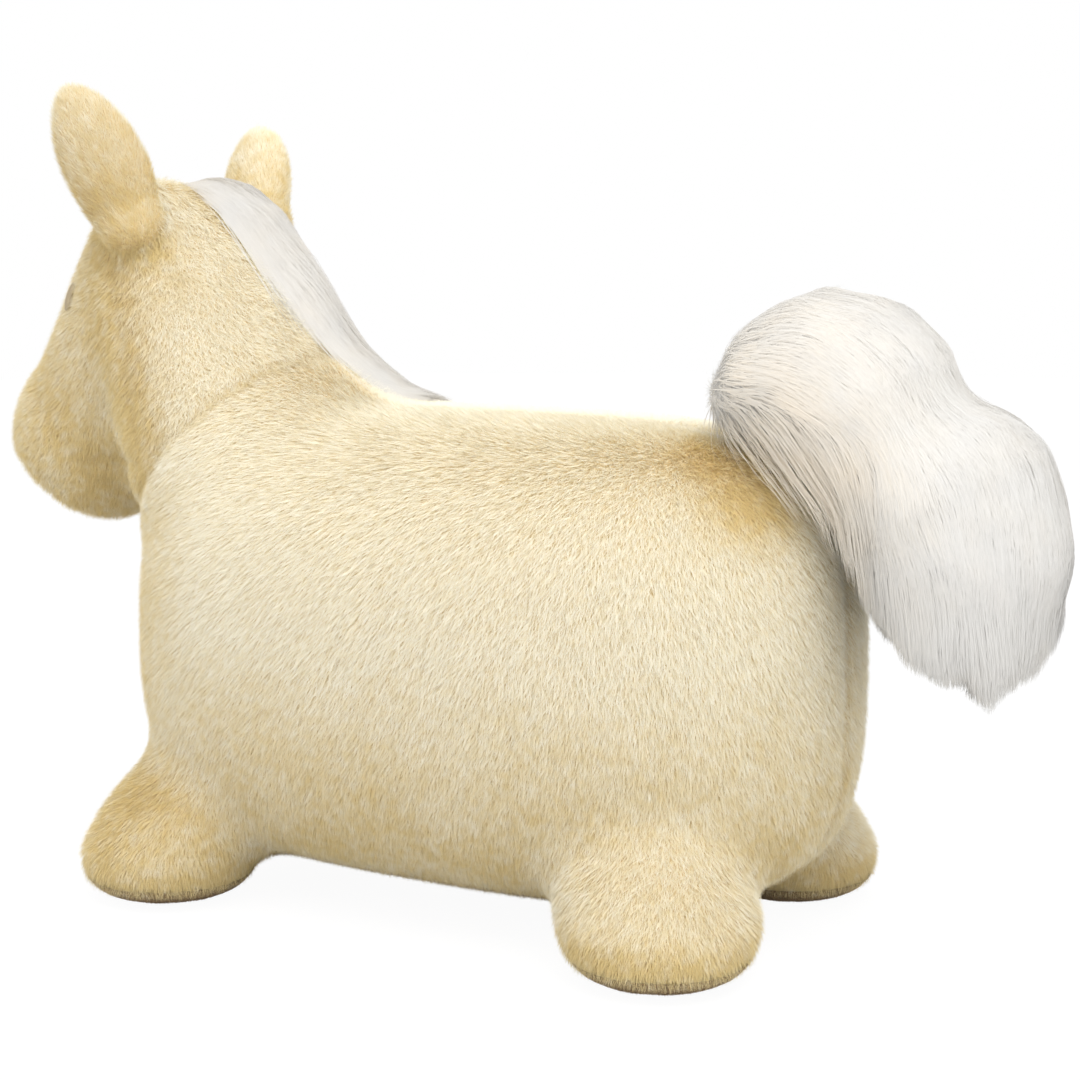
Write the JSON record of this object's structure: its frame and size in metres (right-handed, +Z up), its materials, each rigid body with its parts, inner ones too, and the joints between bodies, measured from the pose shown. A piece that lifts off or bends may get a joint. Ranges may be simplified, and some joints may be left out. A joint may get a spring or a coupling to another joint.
{
  "type": "plush ride-on hopper",
  "caption": "Inflatable bouncy pony in a zipped faux-fur cover, with stub legs, upright ears and a long-haired tail.",
  "frame": {"origin": "on the floor, under the middle of the whole toy", "axes": "+Z up, -Y towards the muzzle, +X to the animal's left side"},
  "size_m": [0.2904, 0.6716, 0.4672],
  "materials": {
    "cream_plush": "long soft faux fur, matt",
    "short_nap_plush": "short nap, matt",
    "white_long_pile": "long straight white fibres, silky",
    "polyester_stuffing": "loose fibre",
    "bladder_vinyl": "soft translucent vinyl, satin",
    "brown_thread": "satin stitch embroidery",
    "zip_tape": "woven",
    "zip_plastic": "moulded",
    "painted_zinc": "painted, satin"
  },
  "bodies": {
    "hopper": {"flank_left": "cream_plush", "flank_right": "cream_plush", "neck_left": "cream_plush", "neck_right": "cream_plush", "cheek_left": "cream_plush", "cheek_right": "cream_plush", "forehead": "cream_plush", "throat": "cream_plush", "muzzle": "cream_plush", "leg_front_left": "cream_plush", "leg_front_right": "cream_plush", "leg_rear_left": "cream_plush", "leg_rear_right": "cream_plush", "belly_left": "short_nap_plush", "belly_right": "short_nap_plush", "sole_front_left": "short_nap_plush", "sole_front_right": "short_nap_plush", "sole_rear_left": "short_nap_plush", "sole_rear_right": "short_nap_plush", "mane": "white_long_pile", "bladder": "bladder_vinyl", "valve_patch": "bladder_vinyl", "valve_body": "bladder_vinyl", "eye_left": "brown_thread", "eye_right": "brown_thread", "zip_tape_left": "zip_tape", "zip_tape_right": "zip_tape", "zip_teeth_left": "zip_plastic", "zip_teeth_right": "zip_plastic", "zip_stop_front": "painted_zinc", "zip_stop_rear": "painted_zinc"},
    "ear_left": {"ear_outer_left": "cream_plush", "ear_inner_left": "cream_plush", "ear_stuffing_left": "polyester_stuffing"},
    "ear_right": {"ear_outer_right": "cream_plush", "ear_inner_right": "cream_plush", "ear_stuffing_right": "polyester_stuffing"},
    "tail": {"tail_core": "polyester_stuffing", "tail_pile": "white_long_pile"},
    "zip_slider": {"zip_slider": "painted_zinc"},
    "zip_pull": {"zip_pull": "painted_zinc"},
    "valve_plug": {"valve_plug": "bladder_vinyl"}
  },
  "joints": [
    {"name": "ear_left_bend", "type": "hinge", "parent": "hopper", "child": "ear_left", "pos_m": [0.0595, -0.1985, 0.385], "axis": [1, 0, 0], "range_deg": [-20, 20], "stiffness_Nm_per_rad": 0.25},
    {"name": "ear_right_bend", "type": "hinge", "parent": "hopper", "child": "ear_right", "pos_m": [-0.0595, -0.1985, 0.385], "axis": [1, 0, 0], "range_deg": [-20, 20], "stiffness_Nm_per_rad": 0.25},
    {"name": "tail_lift", "type": "hinge", "parent": "hopper", "child": "tail", "pos_m": [0, 0.142, 0.2885], "axis": [1, 0, 0], "range_deg": [0, 35]},
    {"name": "zip_travel", "type": "slide", "parent": "hopper", "child": "zip_slider", "axis": [0, -1, 0], "range_m": [0, 0.22]},
    {"name": "zip_pull_swing", "type": "hinge", "parent": "zip_slider", "child": "zip_pull", "pos_m": [0, 0.1085, 0.0132], "axis": [1, 0, 0], "range_deg": [0, 150]},
    {"name": "valve_plug_travel", "type": "slide", "parent": "hopper", "child": "valve_plug", "axis": [0, 0, -1], "range_m": [0, 0.009]}
  ]
}
